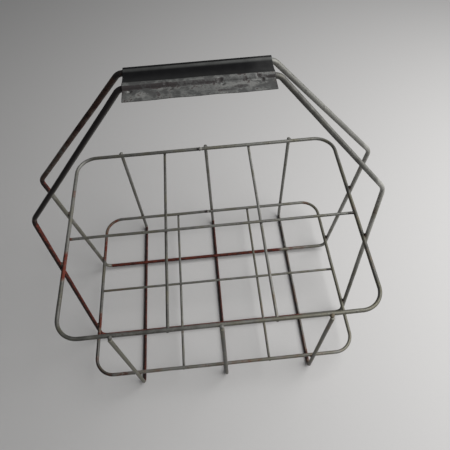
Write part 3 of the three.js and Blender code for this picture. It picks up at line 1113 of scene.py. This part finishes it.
class CARRIER_OT_stage(bpy.types.Operator):
    """Sets the plain floor, the soft lights and the camera"""

    bl_idname = "carrier.stage"
    bl_label = "Stage"

    FLOOR_HALF = 3.0
    FLOOR_DROP = 0.00005
    SKY = (0.96, 0.98, 1.0, 1.0)
    SKY_STRENGTH = 0.13
    KEY_PLACE = (0.44, -0.05, 0.53)
    KEY_SIZE = 0.7
    KEY_POWER = 6.3
    KEY_AIM = Vector((0.0, 0.0, 0.08))
    CAMERA_PLACE = Vector((0.00183, -0.16747, 0.36627))
    CAMERA_AIM = Vector((0.00941, 0.00744, 0.1))
    CAMERA_ROLL = math.radians(-3.34)
    FOCAL_PIXELS = 415.42
    IMAGE_PIXELS = 450.0
    SENSOR = 36.0
    NEAR_CLIP = 0.01

    def execute(self, context):
        self.floor(context)
        self.lights(context)
        self.camera(context)
        context.scene.view_settings.view_transform = "Standard"
        return {"FINISHED"}

    def floor(self, context):
        """A large plain floor, a hair below the runners."""
        corners = np.array([(-1.0, -1.0, 0.0), (1.0, -1.0, 0.0), (1.0, 1.0, 0.0), (-1.0, 1.0, 0.0)])
        corners = self.FLOOR_HALF * corners - np.array([0.0, 0.0, self.FLOOR_DROP])
        floor = build_mesh("floor", corners, [(0, 1, 2, 3)])
        finish = Finish("floor_paper")
        grain = finish.noise(4.0)
        tone = context.scene.carrier_colours.floor
        base = finish.mix(grain, tuple(0.985 * c for c in tone), tone)
        floor.data.materials.append(finish.surface(base, 0.9 + 0.05 * grain, 0.0, grain, 0.05))

    def lights(self, context):
        """An even sky, and one broad key light from the right."""
        world = bpy.data.worlds.new("studio")
        world.use_nodes = True
        sky = world.node_tree.nodes["Background"].inputs
        sky["Color"].default_value = self.SKY
        sky["Strength"].default_value = self.SKY_STRENGTH
        context.scene.world = world
        light = bpy.data.lights.new("key", "AREA")
        light.energy = self.KEY_POWER
        light.size = self.KEY_SIZE
        lamp = bpy.data.objects.new("key", light)
        lamp.location = self.KEY_PLACE
        aim = self.KEY_AIM - lamp.location
        lamp.rotation_euler = aim.to_track_quat("-Z", "Y").to_euler()
        context.scene.collection.objects.link(lamp)

    def camera(self, context):
        """A camera at the viewing angle, its lens given by the focal length in pixels."""
        lens = bpy.data.cameras.new("photo")
        lens.sensor_width = self.SENSOR
        lens.lens = self.SENSOR * self.FOCAL_PIXELS / self.IMAGE_PIXELS
        lens.clip_start = self.NEAR_CLIP
        camera = bpy.data.objects.new("photo", lens)
        camera.location = self.CAMERA_PLACE
        level = (self.CAMERA_AIM - self.CAMERA_PLACE).to_track_quat("-Z", "Y")
        camera.rotation_euler = (level @ Quaternion((0.0, 0.0, 1.0), self.CAMERA_ROLL)).to_euler()
        context.scene.collection.objects.link(camera)
        context.scene.camera = camera


class CARRIER_PT_sidebar(bpy.types.Panel):
    """Lists the carrier's pieces in the sidebar"""

    bl_idname = "CARRIER_PT_sidebar"
    bl_label = "Wire Bottle Carrier"
    bl_space_type = "VIEW_3D"
    bl_region_type = "UI"
    bl_category = "Carrier"

    def draw(self, context):
        for operator in OPERATORS:
            self.layout.operator(operator.bl_idname)


OPERATORS = (
    CARRIER_OT_stage,
    CARRIER_OT_rings,
    CARRIER_OT_dividers,
    CARRIER_OT_runners,
    CARRIER_OT_bails,
    CARRIER_OT_welds,
    CARRIER_OT_grip,
)
CLASSES = (CarrierSizes, CarrierColours, *OPERATORS, CARRIER_PT_sidebar)


def register():
    for cls in CLASSES:
        bpy.utils.register_class(cls)
    bpy.types.Scene.carrier_sizes = bpy.props.PointerProperty(type=CarrierSizes)
    bpy.types.Scene.carrier_colours = bpy.props.PointerProperty(type=CarrierColours)


def unregister():
    del bpy.types.Scene.carrier_colours
    del bpy.types.Scene.carrier_sizes
    for cls in reversed(CLASSES):
        bpy.utils.unregister_class(cls)


def main():
    """Makes the stage and every piece."""
    register()
    bpy.ops.carrier.stage()
    bpy.ops.carrier.rings()
    bpy.ops.carrier.dividers()
    bpy.ops.carrier.runners()
    bpy.ops.carrier.bails()
    bpy.ops.carrier.welds()
    bpy.ops.carrier.grip()


if __name__ == "__main__":
    main()
